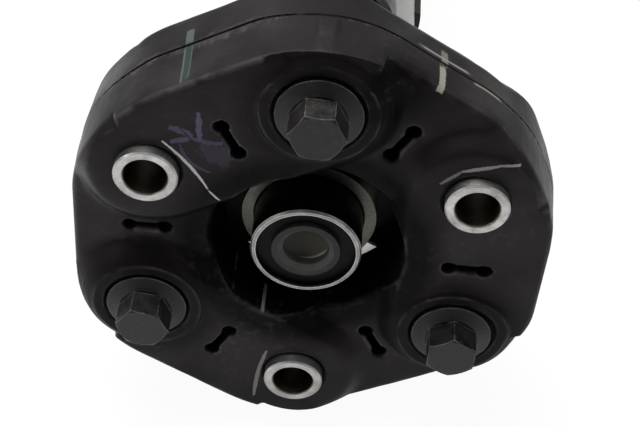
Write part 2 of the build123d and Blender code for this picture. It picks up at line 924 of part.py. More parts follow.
with BuildPart() as one_circlip:
    with BuildSketch(Plane.XY.offset(cup_end)):
        Circle(cup_r + circlip_groove)
        Circle(cup_r + circlip_groove - circlip_width, mode=Mode.SUBTRACT)
        with Locations((cup_r, 0)):
            Rectangle(2 * circlip_width, circlip_opening, mode=Mode.SUBTRACT)
    extrude(amount=circlip_thickness)

for owner, pin in (("slip_yoke", slip_pin), ("flange_yoke", companion_pin)):
    for kind, piece in (("cups", one_cup), ("seals", one_seal), ("circlips", one_circlip)):
        with BuildPart() as pair:
            at_both_ends(piece.part, pin)
        pair.part.label = f"{owner}_{kind}"
        export_step(pair.part, f"parts/{owner}_{kind}.step")
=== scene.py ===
# Driveshaft with a rubber flex disc, dressed for its picture: the solids come from the
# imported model, and each section gives one piece, or a group of like pieces, its finish.
# Lengths are metres. The shaft axis is +Y, from the gearbox towards the axle, and +Z is up.

from math import atan2, cos, hypot, radians, sin

import bpy
import numpy as np
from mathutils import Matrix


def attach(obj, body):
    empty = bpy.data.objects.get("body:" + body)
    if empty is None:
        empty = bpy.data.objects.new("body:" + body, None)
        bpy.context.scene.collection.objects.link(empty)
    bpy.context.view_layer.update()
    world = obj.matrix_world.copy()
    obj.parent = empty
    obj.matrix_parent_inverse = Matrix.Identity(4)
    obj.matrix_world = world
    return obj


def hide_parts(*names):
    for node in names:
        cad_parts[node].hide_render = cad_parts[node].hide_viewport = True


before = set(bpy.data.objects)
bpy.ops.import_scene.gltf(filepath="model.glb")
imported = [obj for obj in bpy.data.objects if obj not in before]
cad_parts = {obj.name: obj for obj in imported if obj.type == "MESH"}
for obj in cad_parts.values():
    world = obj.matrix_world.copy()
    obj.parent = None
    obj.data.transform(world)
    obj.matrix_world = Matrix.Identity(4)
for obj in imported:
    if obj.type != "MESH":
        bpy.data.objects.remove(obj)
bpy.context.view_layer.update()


# Camera: a short telephoto, a little over 40 degrees above the shaft axis, that looks down
# on the gearbox end. Its place and lens were fitted to the picture's circles.

bpy.ops.object.camera_add(
    location=(-0.00075, -0.30511, 0.30743),
    rotation=(radians(46.585), radians(-4.439), radians(3.479)),
)
camera = bpy.context.object
camera.data.lens = 81.8
camera.data.sensor_width = 36
camera.data.clip_start = 0.02
bpy.context.scene.camera = camera
bpy.context.scene.view_settings.view_transform = "Standard"


# Floor, backdrop and light: a pale sweep that the camera sees as white, with a little of
# its own light and shade left in it, under one big soft lamp above and two weaker fills.

def new_finish(name, **plain):
    """Material with a Principled shader, whose plain numbers are set on the shader."""
    finish = bpy.data.materials.new(name)
    finish.use_nodes = True
    shader = finish.node_tree.nodes["Principled BSDF"]
    for socket, value in plain.items():
        shader.inputs[socket.replace("_", " ")].default_value = value
    return finish, shader


def node(finish, kind, inputs=(), output=0, **settings):
    """Adds a node and feeds its first inputs with plain values or other nodes' outputs."""
    step = finish.node_tree.nodes.new("ShaderNode" + kind)
    for name, value in settings.items():
        setattr(step, name, value)
    for number, value in dict(inputs).items() if isinstance(inputs, dict) else enumerate(inputs):
        if isinstance(value, bpy.types.NodeSocket):
            finish.node_tree.links.new(value, step.inputs[number])
        elif value is not None:
            step.inputs[number].default_value = value
    return step.outputs[output]


def link(finish, output, shader, socket):
    """Feeds one socket of a material's shader."""
    finish.node_tree.links.new(output, shader.inputs[socket])


floor_z = -0.083
white, dim = (1, 1, 1, 1), (0.20, 0.20, 0.205, 1)
seen_glow, mirrored_glow = 0.95, 0.36

bpy.ops.mesh.primitive_plane_add(size=8, location=(0, 1, floor_z))
floor = bpy.context.object
floor.name = "floor_sweep"
bpy.ops.object.mode_set(mode="EDIT")
bpy.ops.mesh.select_all(action="DESELECT")
bpy.ops.object.mode_set(mode="OBJECT")
for edge in floor.data.edges:
    edge.select = all(floor.data.vertices[v].co.y > 0 for v in edge.vertices)
bpy.ops.object.mode_set(mode="EDIT")
bpy.ops.mesh.extrude_region_move(TRANSFORM_OT_translate={"value": (0, 0, 4)})
bpy.ops.mesh.select_all(action="SELECT")
bpy.ops.mesh.normals_make_consistent(inside=False)
bpy.ops.object.mode_set(mode="OBJECT")
bend = floor.modifiers.new("bend", "BEVEL")
bend.width, bend.segments = 1.2, 12
bpy.ops.object.modifier_apply(modifier="bend")
bpy.ops.object.transform_apply()
bpy.ops.object.shade_smooth()

sweep, shader = new_finish("sweep_paper", Base_Color=(0.82, 0.82, 0.82, 1), Roughness=0.9)
rays = node(sweep, "LightPath").node.outputs
seen = node(sweep, "Math", [rays["Is Camera Ray"], seen_glow], operation="MULTIPLY")
mirrored = node(sweep, "Math", [rays["Is Glossy Ray"], mirrored_glow], operation="MULTIPLY")
seen = node(sweep, "Math", [seen, mirrored], operation="MAXIMUM")
glow = node(sweep, "Emission", [white, 1.0])
paper = node(sweep, "MixShader", [seen, shader.outputs[0], glow])
sweep.node_tree.links.new(paper, sweep.node_tree.nodes["Material Output"].inputs[0])
floor.data.materials.append(sweep)

world = bpy.data.worlds.new("studio")
world.use_nodes = True
bpy.context.scene.world = world
air = world.node_tree.nodes["Background"]
air.inputs["Strength"].default_value = 1.0
rays = node(world, "LightPath").node.outputs
through = [rays["Is Camera Ray"], rays["Is Transmission Ray"]]
seen = node(world, "Math", through, operation="MAXIMUM")
tint = node(world, "Mix", {0: seen, 6: dim, 7: white}, output=2, data_type="RGBA")
world.node_tree.links.new(tint, air.inputs["Color"])

for name, place, aim, size, power in (
    ("lamp_top", (-0.25, 0.15, 1.1), (0, 0.02, 0), 0.7, 24.0),
    ("lamp_left", (-1.2, -0.5, 0.6), (0, 0.05, 0), 0.5, 4.0),
    ("lamp_right", (1.1, -0.4, 0.9), (0, 0.05, 0), 0.5, 4.0),
):
    bpy.ops.object.light_add(type="AREA", location=place)
    lamp = bpy.context.object
    lamp.name = name
    lamp.data.size = size
    lamp.data.energy = power
    away = lamp.location - type(lamp.location)(aim)
    lamp.rotation_euler = away.to_track_quat("Z", "Y").to_euler()


# Flex disc: rubber moulded round cord loops, in a mould that parts at mid thickness. The
# solid is remeshed and relaxed, so that pads and pockets run into one another as rubber does.

bolt_r = 0.055
bushing_angles = range(30, 390, 60)
shaft_angles = (90, 210, 330)
flat_angles = range(0, 360, 60)
slot_inner, slot_outer = 0.0432, 0.0536
disc_front, parting = 0.003, 0.020
wall_r, inside_wall = 0.0715, 0.066
bore_r, bore_edge = 0.0295, 0.031
flat_edge, corner_edge = 0.0685, 0.072
tab_half, tab_foot = 0.004, 0.07
slot_rim, shaft_ring_r, sleeve_ring_r = 0.0035, 0.0183, 0.0120
voxel = 0.0006
triangle_budget = 180_000


def choose(piece, wanted):
    """Selects the vertices of a mesh for which the array is true, and opens edit mode."""
    bpy.ops.object.mode_set(mode="OBJECT")
    piece.data.polygons.foreach_set("select", np.zeros(len(piece.data.polygons), bool))
    piece.data.edges.foreach_set("select", np.zeros(len(piece.data.edges), bool))
    piece.data.vertices.foreach_set("select", wanted)
    bpy.ops.object.mode_set(mode="EDIT")


def places_of(piece):
    """Vertex places of a mesh, as an array."""
    places = np.zeros(len(piece.data.vertices) * 3)
    piece.data.vertices.foreach_get("co", places)
    return places.reshape(-1, 3)


def from_segment(points, start, end):
    """Distance of points to a segment in the XZ plane."""
    start, end = np.array(start), np.array(end)
    along = end - start
    share = np.clip((points[:, [0, 2]] - start) @ along / (along @ along), 0, 1)
    return np.linalg.norm(points[:, [0, 2]] - start - share[:, None] * along, axis=1)


bpy.ops.object.select_all(action="DESELECT")
disc = bpy.data.objects.new("flex_disc_rubber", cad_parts["flex_disc"].data.copy())
bpy.context.scene.collection.objects.link(disc)
bpy.context.view_layer.objects.active = disc
disc.select_set(True)
bpy.ops.object.mode_set(mode="EDIT")
bpy.ops.mesh.select_mode(type="VERT")
bpy.ops.mesh.select_all(action="SELECT")
bpy.ops.mesh.customdata_custom_splitnormals_clear()
bpy.ops.mesh.remove_doubles(threshold=1e-6)
bpy.ops.object.mode_set(mode="OBJECT")
disc.data.materials.clear()
skin = disc.modifiers.new("skin", "REMESH")
skin.mode = "VOXEL"
skin.voxel_size = voxel
bpy.ops.object.modifier_apply(modifier="skin")

# The wall, the bore, the tab, the slots and the bushings' rings stay crisp
points = places_of(disc)
across, depth, up = points.T
from_axis = np.hypot(across, up)
half_width = np.max(
    [across * cos(radians(a)) + up * sin(radians(a)) for a in flat_angles], axis=0
)
crisp = (half_width > flat_edge) | (from_axis > corner_edge) | (from_axis < bore_edge)
crisp |= (abs(across) < tab_half) & (up > tab_foot)
for a in flat_angles:
    slot = [(r * cos(radians(a)), r * sin(radians(a))) for r in (slot_inner, slot_outer)]
    crisp |= from_segment(points, *slot) < slot_rim
for a in bushing_angles:
    bushing = (bolt_r * cos(radians(a)), bolt_r * sin(radians(a)))
    to_bushing = np.hypot(across - bushing[0], up - bushing[1])
    crisp |= to_bushing < (shaft_ring_r if a in shaft_angles else sleeve_ring_r)
choose(disc, ~crisp)
bpy.ops.mesh.vertices_smooth(factor=0.5, repeat=30)
choose(disc, np.ones(len(points), bool))
bpy.ops.mesh.vertices_smooth(factor=0.5, repeat=2)

# The rim runs on over the top bolt, in front of its pocket
rim_front, rim_back, rim_inside, rim_foot = 0.0036, 0.0105, 0.0712, 0.013
over_bolt = abs(np.degrees(np.arctan2(up, across)) - 90) < 13
choose(disc, over_bolt & (from_axis > rim_inside) & (depth > rim_front) & (depth < rim_back))
bpy.ops.transform.resize(value=(1, 0.1, 1), center_override=(0, rim_front, 0))
choose(disc, over_bolt & (from_axis > inside_wall) & (depth < rim_foot))
bpy.ops.mesh.vertices_smooth(factor=0.5, repeat=8)
bpy.ops.object.mode_set(mode="OBJECT")

# The outline: three sides go back and a little outwards at their rear edge, one of them
# outwards over its whole depth too, and two corners are drawn in
near_wall, fade = 0.064, 0.014
for angle, half_span, first_y, outward, rearward in (
    (120, 0.020, 0.024, 0.0010, 0.0040),
    (240, 0.020, 0.024, 0.0008, 0.0040),
    (0, 0.020, 0.024, 0.0004, 0.0040),
    (0, 0.020, 0.000, 0.0012, 0.0),
    (150, 0.014, 0.000, -0.0016, 0.0),
    (30, 0.014, 0.000, -0.0012, 0.0),
):
    points = places_of(disc)
    out = np.array([cos(radians(angle)), 0, sin(radians(angle))])
    side = np.array([-out[2], 0, out[0]])
    edge = (points @ out > near_wall) & (points[:, 1] > first_y)
    choose(disc, edge & (abs(points @ side) < half_span))
    bpy.ops.transform.translate(
        value=tuple(out * outward + np.array([0, rearward, 0])),
        use_proportional_edit=True,
        proportional_edit_falloff="SMOOTH",
        proportional_size=fade,
    )
    bpy.ops.object.mode_set(mode="OBJECT")

thin = disc.modifiers.new("thin", "DECIMATE")
thin.ratio = triangle_budget / (2 * len(disc.data.polygons))
bpy.ops.object.modifier_apply(modifier="thin")

# The mould's parting line is a sharp groove round the wall
groove_half, groove_scale, on_line = 0.0004, 0.988, 0.00002
bpy.ops.object.mode_set(mode="EDIT")
for y in (parting - groove_half, parting, parting + groove_half):
    bpy.ops.mesh.select_all(action="SELECT")
    bpy.ops.mesh.bisect(plane_co=(0, y, 0), plane_no=(0, 1, 0))
bpy.ops.object.mode_set(mode="OBJECT")
points = places_of(disc)
on_wall = np.hypot(points[:, 0], points[:, 2]) > inside_wall
from_parting = abs(points[:, 1] - parting)
choose(disc, (from_parting < on_line) & on_wall)
bpy.ops.transform.resize(
    value=(groove_scale, 1, groove_scale), center_override=(0, parting, 0)
)
choose(disc, (abs(from_parting - groove_half) < on_line) & on_wall)
bpy.ops.mesh.mark_sharp()
bpy.ops.object.mode_set(mode="OBJECT")

swell = bpy.data.textures.new("mould_swell", "CLOUDS")
swell.noise_scale = 0.022
soft = disc.modifiers.new("swell", "DISPLACE")
soft.texture, soft.strength, soft.texture_coords = swell, 0.0006, "LOCAL"
bpy.ops.object.modifier_apply(modifier="swell")
bpy.ops.object.shade_smooth()
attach(disc, "shaft")
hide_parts("flex_disc")


def noise(finish, where, scale, detail=4.0, roughness=0.5):
    """Noise value, with the scale in waves per metre."""
    return node(finish, "TexNoise", {0: where, 2: scale, 3: detail, 4: roughness})


def span(finish, value, low, high, start=0.0, end=1.0):
    """Value taken from one range to another, and held inside it."""
    return node(finish, "MapRange", [value, low, high, start, end])


def times(finish, first, second, operation="MULTIPLY", kind="Math"):
    """Two values multiplied, or joined by another operation."""
    return node(finish, kind, [first, second], operation=operation)


def blend_colours(finish, share, first, second):
    """Colour between two others."""
    return node(finish, "Mix", {0: share, 6: first, 7: second}, output=2, data_type="RGBA")


def raise_surface(finish, shader, height, distance, strength=1.0, under=None):
    """Bump from a height between 0 and 1, with its depth in metres."""
    lift = finish.node_tree.nodes.new("ShaderNodeBump")
    lift.inputs["Strength"].default_value = strength
    lift.inputs["Distance"].default_value = distance
    finish.node_tree.links.new(height, lift.inputs["Height"])
    if under is not None:
        finish.node_tree.links.new(under, lift.inputs["Normal"])
    link(finish, lift.outputs[0], shader, "Normal")
    return lift.outputs[0]


def off_by(finish, value, target=0.0):
    """How far a value lies from another, to either side."""
    return times(finish, times(finish, value, target, "SUBTRACT"), 0, "ABSOLUTE")


def from_place(finish, where, place):
    """Distance from one place."""
    return node(finish, "VectorMath", [where, place], 1, operation="DISTANCE")


def from_shaft(finish, where):
    """Distance from the shaft's axis."""
    flat = times(finish, where, (1, 0, 1), "MULTIPLY", "VectorMath")
    return node(finish, "VectorMath", [flat], 1, operation="LENGTH")


def to_nearest(finish, where, angles):
    """Distance from the nearest of the axes on the bolt circle that stand at some angles."""
    flat = times(finish, where, (1, 0, 1), "MULTIPLY", "VectorMath")
    nearest = 1.0
    for a in angles:
        axis = (bolt_r * cos(radians(a)), 0, bolt_r * sin(radians(a)))
        nearest = times(finish, nearest, from_place(finish, flat, axis), "MINIMUM")
    return nearest


def stroke(finish, where, grain, centre, turn, reach, bow=0.0, taper=0.0, wear=0.5):
    """Mask of a crayon or paint stroke: a box turned about Y and eaten by a grain. Its half
    sizes are along, deep and across; it may bow to one side and get thinner to its ends."""
    local = node(finish, "Mapping", [where, centre, (0, turn, 0), reach], vector_type="TEXTURE")
    along, deep, across = node(finish, "SeparateXYZ", [local]).node.outputs
    square = times(finish, along, along)
    bowed = span(finish, square, 0, 1, bow / reach[2], 0)
    across = times(finish, off_by(finish, across, bowed), times(finish, square, taper), "ADD")
    ends = times(finish, times(finish, square, square), off_by(finish, deep), "MAXIMUM")
    edge = times(finish, ends, across, "MAXIMUM")
    edge = times(finish, edge, times(finish, grain, wear), "ADD")
    return span(finish, edge, 0.75 + wear / 2, 1.0 + wear / 2, 1.0, 0.0)


def face_stroke(finish, where, grain, start, end, width, **shape):
    """Mask of a stroke on the front face, from one (x, z) place to another."""
    (x0, z0), (x1, z1) = start, end
    return stroke(
        finish, where, grain,
        ((x0 + x1) / 2, disc_front + face_depth / 2, (z0 + z1) / 2),
        -atan2(z1 - z0, x1 - x0),
        (hypot(x1 - x0, z1 - z0) / 2, face_depth, width / 2),
        **shape,
    )


# Rubber: cloudy near-black, with painted shade that makes it darker and matt round the hole,
# the bolts and a pocket; a dusty wall painted lighter towards the top; specks of dust; and
# edges with a painted highlight mixed with dust
face_depth = 0.008
shaded_pocket, moulded_tab = (0.020, 0.004, 0.062), (0, 0.0145, 0.0755)
hole_shade_reach, bolt_shade_reach, pin_ring_r = (0.036, 0.044), (0.019, 0.026), 0.0205
soot, soot_pale = (0.0016, 0.0013, 0.0015, 1), (0.0078, 0.0068, 0.0074, 1)
wall_dust_and_top_light, face_dust = (0.020, 0.0188, 0.0188, 1), (0.09, 0.083, 0.075, 1)
edge_highlight_and_dust, scratched = (0.11, 0.103, 0.098, 1), (0.003, 0.0025, 0.003, 1)
seam_black = (0.001, 0.0009, 0.001, 1)
rubber, shader = new_finish("disc_rubber", Specular_Tint=(1.0, 0.9, 0.94, 1))
where = node(rubber, "TexCoord", output=3)
_, y, z = node(rubber, "SeparateXYZ", [where]).node.outputs
cloud = noise(rubber, where, 38, 5, 0.6)
smear = noise(rubber, where, 130, 4, 0.6)
fine = noise(rubber, where, 900, 3, 0.6)
speck = noise(rubber, where, 420, 2, 0.5)
daub = noise(rubber, where, 330, 5, 0.75)
tone = blend_colours(rubber, span(rubber, cloud, 0.38, 0.66), soot, soot_pale)
from_axis = from_shaft(rubber, where)
on_wall = span(rubber, from_axis, inside_wall, inside_wall + 0.001)

# The wall is paled with dust clouds and painted lighter towards the top, a painted light from
# above
facing = node(rubber, "SeparateXYZ", [node(rubber, "NewGeometry", output=1)], 1)
wall = times(rubber, span(rubber, off_by(rubber, facing), 0.70, 0.45), on_wall)
dust_and_top_light = span(rubber, cloud, 0.35, 0.6, 0.4, 1.0)
dust_and_top_light = times(rubber, span(rubber, z, 0.02, 0.06, 0.3, 1.0), dust_and_top_light)
tone = blend_colours(rubber, times(rubber, wall, dust_and_top_light), tone, wall_dust_and_top_light)

# Painted shade: the face is darkened towards soot near a pocket at the upper right, round the
# hole and round the shaft bolts
from_shaded_pocket = from_place(rubber, where, shaded_pocket)
shade_by_hole = span(rubber, from_axis, *hole_shade_reach, 1, 0)
shade_by_bolt = span(rubber, to_nearest(rubber, where, shaft_angles), *bolt_shade_reach, 0.7, 0)
painted_shade = times(rubber, span(rubber, from_shaded_pocket, 0.008, 0.020, 1, 0), shade_by_hole, "MAXIMUM")
painted_shade = times(rubber, painted_shade, shade_by_bolt, "MAXIMUM")
painted_shade = times(rubber, painted_shade, span(rubber, cloud, 0.3, 0.5, 0.6, 1))
tone = blend_colours(rubber, times(rubber, painted_shade, 0.8), tone, soot)

dust = times(rubber, span(rubber, cloud, 0.50, 0.66), span(rubber, speck, 0.54, 0.78))
tone = blend_colours(rubber, times(rubber, dust, 0.18), tone, face_dust)
# Painted highlight mixed with dust: bent edges of the rubber, away from the tab, are painted
# pale
bent = node(rubber, "NewGeometry", output=7)
edges = times(rubber, span(rubber, bent, 0.51, 0.55), span(rubber, smear, 0.38, 0.6))
off_tab = from_place(rubber, where, moulded_tab)
edges = times(rubber, edges, span(rubber, off_tab, 0.0055, 0.008))
tone = blend_colours(rubber, times(rubber, edges, 0.6), tone, edge_highlight_and_dust)

# Crayon marks on the front face, with a violet scribble at the upper left and a dark
# scratch through it
chalk, pale_chalk = (0.42, 0.41, 0.39, 1), (0.22, 0.21, 0.20, 1)
violet = (0.072, 0.062, 0.112, 1)
for colour, strength, width, start, end, bow in (
    (chalk, 0.9, 0.0011, (-0.0433, 0.0395), (-0.0298, 0.0228), 0.0010),
    (chalk, 0.9, 0.0007, (-0.0297, 0.0225), (-0.0262, 0.0184), 0.0),
    (pale_chalk, 0.5, 0.0014, (0.0360, 0.0334), (0.0414, 0.0388), 0.0),
    (pale_chalk, 0.8, 0.0015, (0.0412, 0.0388), (0.0520, 0.0425), 0.0),
    (pale_chalk, 0.7, 0.0010, (0.0515, 0.0425), (0.0576, 0.0428), 0.0),
    (pale_chalk, 0.7, 0.0016, (-0.0092, -0.0445), (-0.0123, -0.0680), -0.0008),
    (violet, 0.80, 0.0019, (-0.0331, 0.0514), (-0.0326, 0.0410), 0.0),
    (violet, 0.60, 0.0026, (-0.0415, 0.0448), (-0.0345, 0.0420), 0.0005),
    (violet, 0.60, 0.0022, (-0.0410, 0.0392), (-0.0350, 0.0418), 0.0),
    (violet, 0.45, 0.0020, (-0.0362, 0.0420), (-0.0262, 0.0405), -0.0006),
    (violet, 0.20, 0.0075, (-0.0330, 0.0390), (-0.0235, 0.0335), 0.0),
    (violet, 0.40, 0.0014, (-0.0382, 0.0394), (-0.0292, 0.0292), -0.0022),
):
    grain, wear = (daub, 2.2) if colour == violet else (fine, 0.8)
    mask = face_stroke(
        rubber, where, grain, start, end, width, bow=bow, taper=0.45, wear=wear
    )
    tone = blend_colours(rubber, times(rubber, mask, strength), tone, colour)
scratch = face_stroke(
    rubber, where, fine, (-0.0385, 0.0450), (-0.0290, 0.0292), 0.0008, bow=0.0012, taper=0.3
)
tone = blend_colours(rubber, times(rubber, scratch, 0.8), tone, scratched)

# Paint stripes across the wall: teal at the upper left, beige at the upper right, and a
# crayon mark in the bore. Two pale streaks run round the wall at the beige stripe
teal, teal_edge = (0.020, 0.035, 0.030, 1), (0.065, 0.085, 0.075, 1)
beige, pale_dirt = (0.20, 0.19, 0.16, 1), (0.20, 0.185, 0.16, 1)
for colour, strength, r, angle, shift, start, end, width in (
    (teal_edge, 0.75, wall_r, 122.0, 0.0, 0.0205, 0.0270, 0.0028),
    (teal, 0.80, wall_r, 122.0, 0.0, 0.0035, 0.0200, 0.0022),
    (teal_edge, 0.75, wall_r, 122.0, 0.0011, 0.0035, 0.0198, 0.0007),
    (teal_edge, 0.55, wall_r, 122.0, -0.0012, 0.0045, 0.0198, 0.0005),
    (beige, 0.90, wall_r, 62.6, 0.0, 0.0068, 0.0190, 0.0024),
    (beige, 0.50, wall_r, 62.0, 0.0, 0.0190, 0.0262, 0.0026),
    (pale_chalk, 0.70, bore_r, 247.0, 0.0, 0.0035, 0.0160, 0.0013),
):
    turned = radians(angle) + shift / r
    mask = stroke(
        rubber, where, fine,
        (r * cos(turned), (start + end) / 2, r * sin(turned)),
        -turned,
        (0.0022, (end - start) / 2, width / 2),
        wear=0.7,
    )
    tone = blend_colours(rubber, times(rubber, mask, strength), tone, colour)
for angle, station, reach in ((62, 0.0222, 0.0090), (50, 0.0192, 0.0060)):
    turned = radians(angle)
    mask = stroke(
        rubber, where, smear,
        (wall_r * cos(turned), station, wall_r * sin(turned)),
        -turned,
        (0.0030, 0.0006, reach),
        taper=0.5, wear=1.2,
    )
    tone = blend_colours(rubber, times(rubber, mask, 0.7), tone, pale_dirt)

# The parting line is a dark seam, and thin rings show where the mould's pins stood
seam = span(rubber, off_by(rubber, y, parting), 0.00035, 0.0006, 1, 0)
seam = times(rubber, seam, on_wall)
tone = blend_colours(rubber, seam, tone, seam_black)
link(rubber, tone, shader, "Base Color")
# The seam and the painted shade also lower the specular level
dull = times(rubber, seam, painted_shade, "MAXIMUM")
link(rubber, span(rubber, dull, 0, 1, 0.15, 0.04), shader, "Specular IOR Level")
link(rubber, span(rubber, cloud, 0.3, 0.7, 0.56, 0.38), shader, "Roughness")
mould = off_by(rubber, to_nearest(rubber, where, shaft_angles), pin_ring_r)
mould = times(rubber, span(rubber, mould, 0.0001, 0.0004, 1, 0), span(rubber, cloud, 0.45, 0.6))
ripple = raise_surface(rubber, shader, noise(rubber, where, 150, 3, 0.5), 0.0004, 0.5)
ripple = raise_surface(rubber, shader, mould, 0.00015, 0.5, ripple)
raise_surface(rubber, shader, fine, 0.00008, 0.5, ripple)
disc.data.materials.append(rubber)


# Sleeves: turned steel tubes moulded into the rubber. Their ends are machined, with fine
# rings from the tool, and the walls and bores have gone dull.


def dress(finish, *names):
    """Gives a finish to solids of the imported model."""
    for name in names:
        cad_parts[name].data.materials.clear()
        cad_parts[name].data.materials.append(finish)


sleeve_bore_r, softened = 0.0067, 0.0001
bare, dulled, pitted = (0.46, 0.45, 0.44, 1), (0.26, 0.255, 0.25, 1), (0.10, 0.09, 0.085, 1)
oil, oil_pale = (0.05, 0.044, 0.030, 1), (0.15, 0.13, 0.095, 1)
bright_steel, shader = new_finish("sleeve_steel", Metallic=1.0)
where = node(bright_steel, "TexCoord", output=3)
patch = noise(bright_steel, where, 160, 5, 0.6)
grit = noise(bright_steel, where, 1400, 2, 0.6)
tone = blend_colours(bright_steel, span(bright_steel, patch, 0.35, 0.7), bare, dulled)
tone = blend_colours(bright_steel, span(bright_steel, grit, 0.62, 0.72), tone, pitted)
inside = to_nearest(bright_steel, where, bushing_angles)
inside = span(bright_steel, inside, sleeve_bore_r - softened, sleeve_bore_r + softened, 1, 0)
stained = blend_colours(bright_steel, patch, oil, oil_pale)
tone = blend_colours(bright_steel, inside, tone, stained)
link(bright_steel, tone, shader, "Base Color")
link(bright_steel, span(bright_steel, patch, 0.3, 0.7, 0.3, 0.5), shader, "Roughness")
lines = node(
    bright_steel, "TexWave", {0: where, 1: 900.0, 2: 2.0, 3: 3.0, 4: 2.0},
    wave_type="BANDS", bands_direction="Y",
)
turned = raise_surface(bright_steel, shader, lines, 0.00004, 0.4)
raise_surface(bright_steel, shader, grit, 0.00005, 0.5, turned)
dress(bright_steel, "mounting_sleeves", "shaft_sleeves")


# Bolts and nuts: forged, with a dark phosphate coat that is dusty on the flats and worn
# through along the edges by the socket.


def worn_edges(finish, radius, low, high):
    """Mask of a piece's edges, from the angle between its sharp and its rounded surface."""
    rounded = finish.node_tree.nodes.new("ShaderNodeBevel")
    rounded.samples = 6
    rounded.inputs["Radius"].default_value = radius
    sharp = node(finish, "NewGeometry", output=1)
    both = [rounded.outputs[0], sharp]
    return span(finish, node(finish, "VectorMath", both, 1, operation="DOT_PRODUCT"), high, low)


past_hexagon = (0.0084, 0.0090)
coat, coat_pale = (0.0035, 0.0032, 0.0034, 1), (0.015, 0.0138, 0.0132, 1)
road_dust, worn_bare = (0.07, 0.06, 0.045, 1), (0.20, 0.19, 0.18, 1)
bolt_coat, shader = new_finish("bolt_steel", Metallic=0.2, Specular_IOR_Level=0.3)
where = node(bolt_coat, "TexCoord", output=3)
patch = noise(bolt_coat, where, 220, 5, 0.65)
grit = noise(bolt_coat, where, 1100, 3, 0.6)
tone = blend_colours(bolt_coat, span(bolt_coat, patch, 0.3, 0.7), coat, coat_pale)
gritty = span(bolt_coat, grit, 0.58, 0.7, 0, 0.35)
tone = blend_colours(bolt_coat, gritty, tone, road_dust)
flange = span(bolt_coat, to_nearest(bolt_coat, where, shaft_angles), *past_hexagon, 0, 0.7)
tone = blend_colours(bolt_coat, flange, tone, coat)
edges = worn_edges(bolt_coat, 0.0004, 0.9, 0.99)
edges = times(bolt_coat, edges, span(bolt_coat, patch, 0.35, 0.55))
tone = blend_colours(bolt_coat, times(bolt_coat, edges, 0.75), tone, worn_bare)
link(bolt_coat, tone, shader, "Base Color")
link(bolt_coat, span(bolt_coat, patch, 0.3, 0.7, 0.35, 0.55), shader, "Roughness")
raise_surface(bolt_coat, shader, grit, 0.0001, 0.5)
dress(bolt_coat, "coupling_bolts", "coupling_nuts")


# Centring sleeve: a steel can whose rim was machined bright and whose wall has gone dark,
# rubber, a grey bush and an olive cap. The locating ring behind is stained, its tab bright.

rim_end, ring_face, ring_edge = (0.0048, 0.0053), (0.0195, 0.0198), (0.0208, 0.0210)
tab_bright, rim_bright = (0.55, 0.54, 0.50, 1), (0.75, 0.74, 0.72, 1)
can_steel, shader = new_finish("can_steel", Metallic=1.0)
where = node(can_steel, "TexCoord", output=3)
patch = noise(can_steel, where, 240, 5, 0.6)
grit = noise(can_steel, where, 1300, 2, 0.6)
y = node(can_steel, "SeparateXYZ", [where], 1)
rim = span(can_steel, y, *rim_end, 1, 0)
ring = span(can_steel, y, *ring_face)
ring_tab = times(can_steel, ring, span(can_steel, from_shaft(can_steel, where), *ring_edge))
can_wall = blend_colours(can_steel, patch, (0.012, 0.011, 0.010, 1), (0.04, 0.037, 0.034, 1))
stained = span(can_steel, grit, 0.5, 0.7)
stained = blend_colours(can_steel, stained, (0.085, 0.084, 0.073, 1), (0.04, 0.039, 0.032, 1))
machined = span(can_steel, patch, 0.4, 0.65)
machined = blend_colours(can_steel, machined, (0.15, 0.145, 0.14, 1), (0.26, 0.25, 0.24, 1))
tone = blend_colours(can_steel, ring, can_wall, stained)
tone = blend_colours(can_steel, ring_tab, tone, tab_bright)
tone = blend_colours(can_steel, rim, tone, machined)
edges = times(can_steel, worn_edges(can_steel, 0.0003, 0.9, 0.99), rim)
tone = blend_colours(can_steel, edges, tone, rim_bright)
link(can_steel, tone, shader, "Base Color")
link(can_steel, span(can_steel, patch, 0.3, 0.7, 0.3, 0.45), shader, "Roughness")
raise_surface(can_steel, shader, grit, 0.00005, 0.4)
dress(can_steel, "centring_can", "locating_ring")

seal_rubber, shader = new_finish("seal_rubber", Roughness=0.5, Specular_IOR_Level=0.07)
where = node(seal_rubber, "TexCoord", output=3)
patch = noise(seal_rubber, where, 200, 4, 0.6)
tone = blend_colours(seal_rubber, patch, (0.0015, 0.0014, 0.0016, 1), (0.005, 0.0046, 0.005, 1))
link(seal_rubber, tone, shader, "Base Color")
raise_surface(seal_rubber, shader, noise(seal_rubber, where, 700, 3, 0.6), 0.0001, 0.4)
dress(seal_rubber, "centring_rubber", "wiper_seal", "slip_yoke_seals", "flange_yoke_seals")

lead_edge = (0.0083, 0.0087)
bush_steel, shader = new_finish(
    "bush_steel", Metallic=0.2, Roughness=0.5, Specular_IOR_Level=0.15
)
where = node(bush_steel, "TexCoord", output=3)
patch = noise(bush_steel, where, 300, 4, 0.6)
oiled = blend_colours(bush_steel, patch, (0.014, 0.0135, 0.013, 1), (0.030, 0.0285, 0.028, 1))
lead = blend_colours(bush_steel, patch, (0.035, 0.034, 0.033, 1), (0.08, 0.078, 0.075, 1))
past_lead = span(bush_steel, from_shaft(bush_steel, where), *lead_edge)
tone = blend_colours(bush_steel, past_lead, lead, oiled)
link(bush_steel, tone, shader, "Base Color")
raise_surface(bush_steel, shader, noise(bush_steel, where, 1200, 2, 0.6), 0.00005, 0.4)
dress(bush_steel, "centring_bush")

